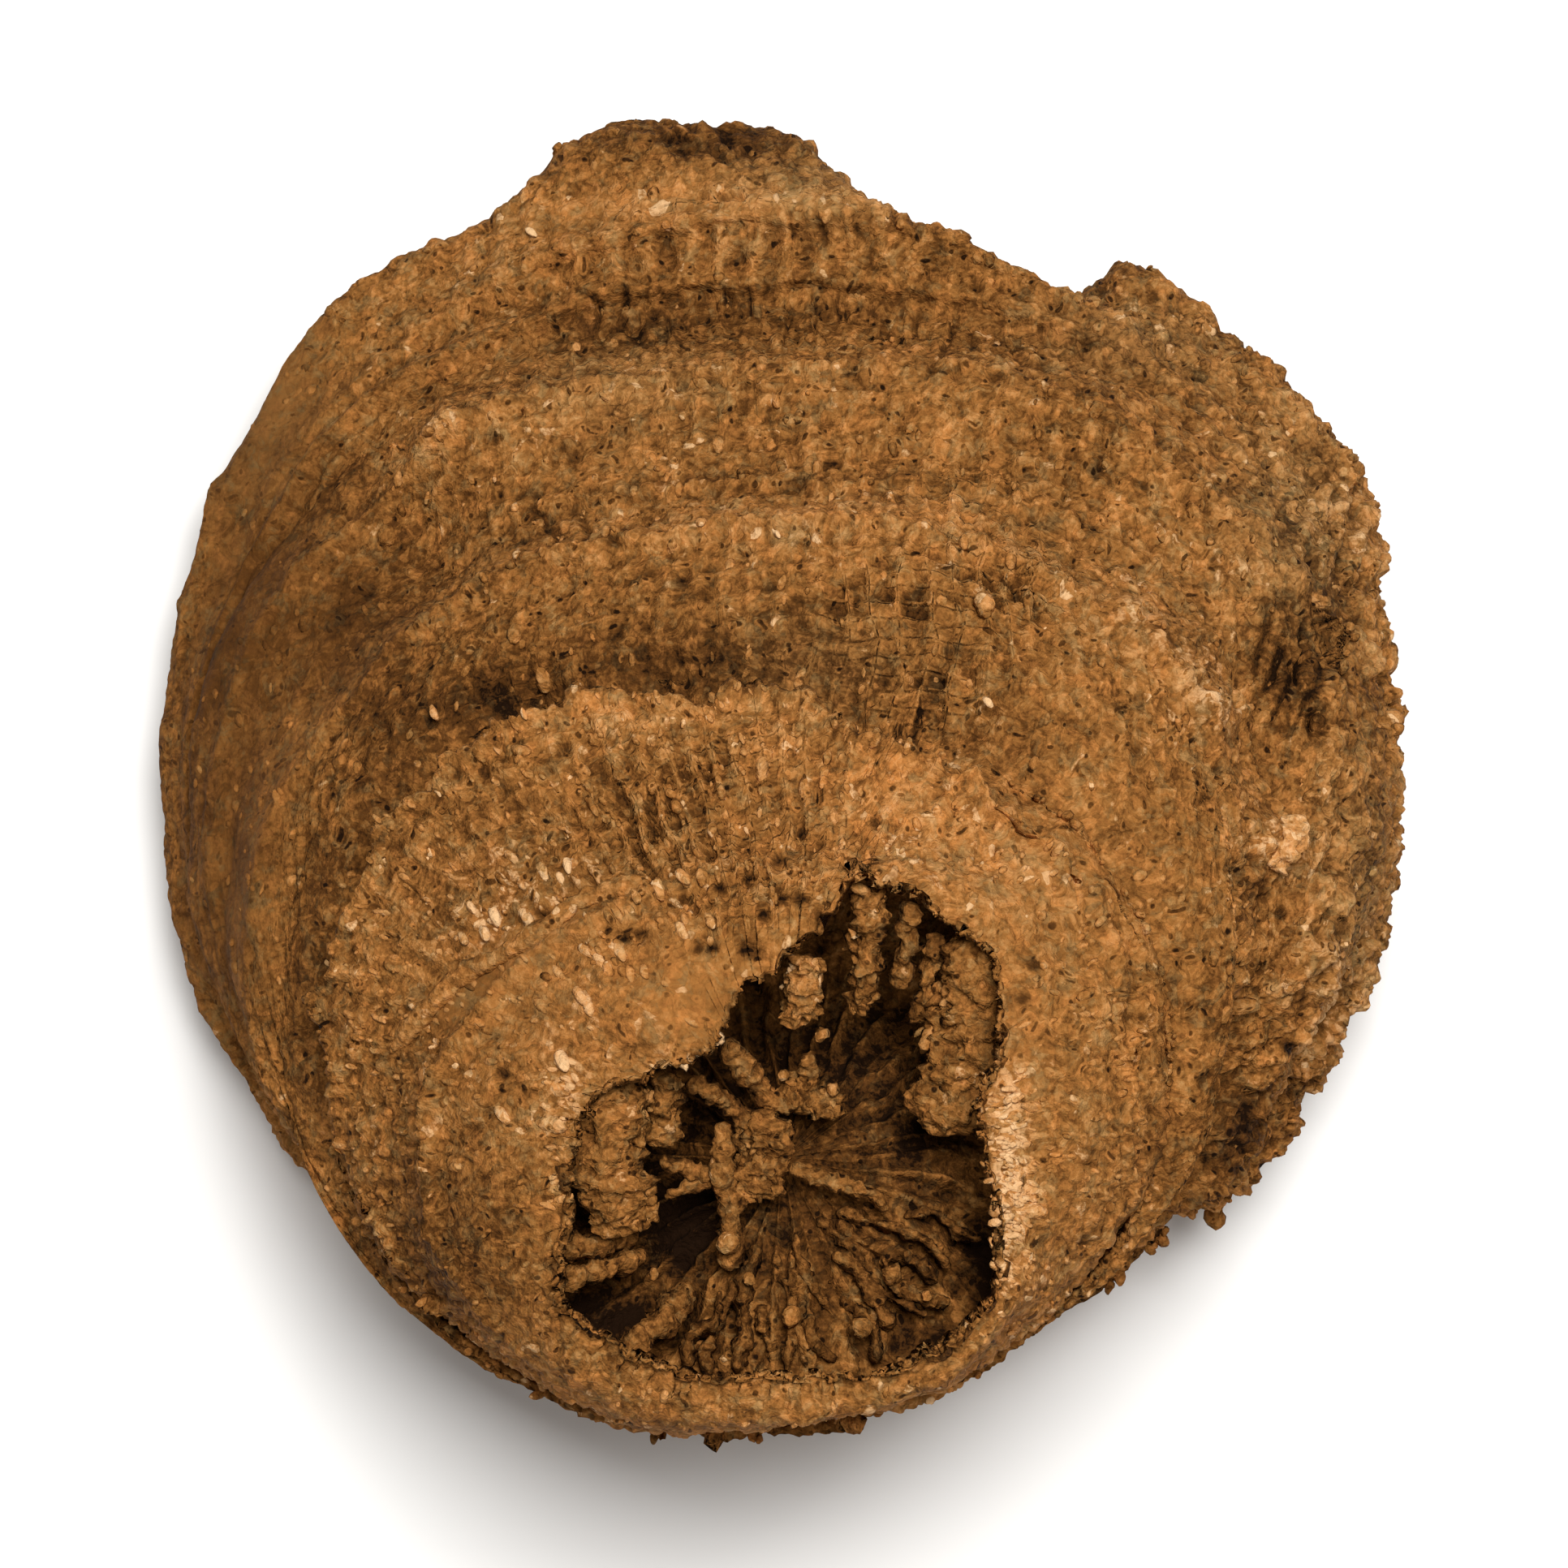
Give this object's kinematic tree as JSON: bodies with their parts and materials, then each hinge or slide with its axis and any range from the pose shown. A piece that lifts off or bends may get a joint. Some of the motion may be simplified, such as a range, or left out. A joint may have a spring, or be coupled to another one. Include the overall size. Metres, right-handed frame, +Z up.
{
  "type": "horn coral fossil",
  "caption": "Squat leaning horn coral fossil with stacked growth ledges and a broken tip that opens on a hollow with radial septa.",
  "frame": {"origin": "middle of the bounding box's underside, on the surface that the wide calice end stands on", "axes": "+Z up from the calice to the broken tip, -Y towards the side that the tip leans over, +X to the right seen from there"},
  "size_m": [0.0504, 0.0542, 0.0314],
  "materials": {
    "fossil_limestone": "matt, rough, iron-stained tan-brown limestone with paler crystal grains"
  },
  "bodies": {
    "root": {"horn_coral": "fossil_limestone"}
  },
  "joints": []
}
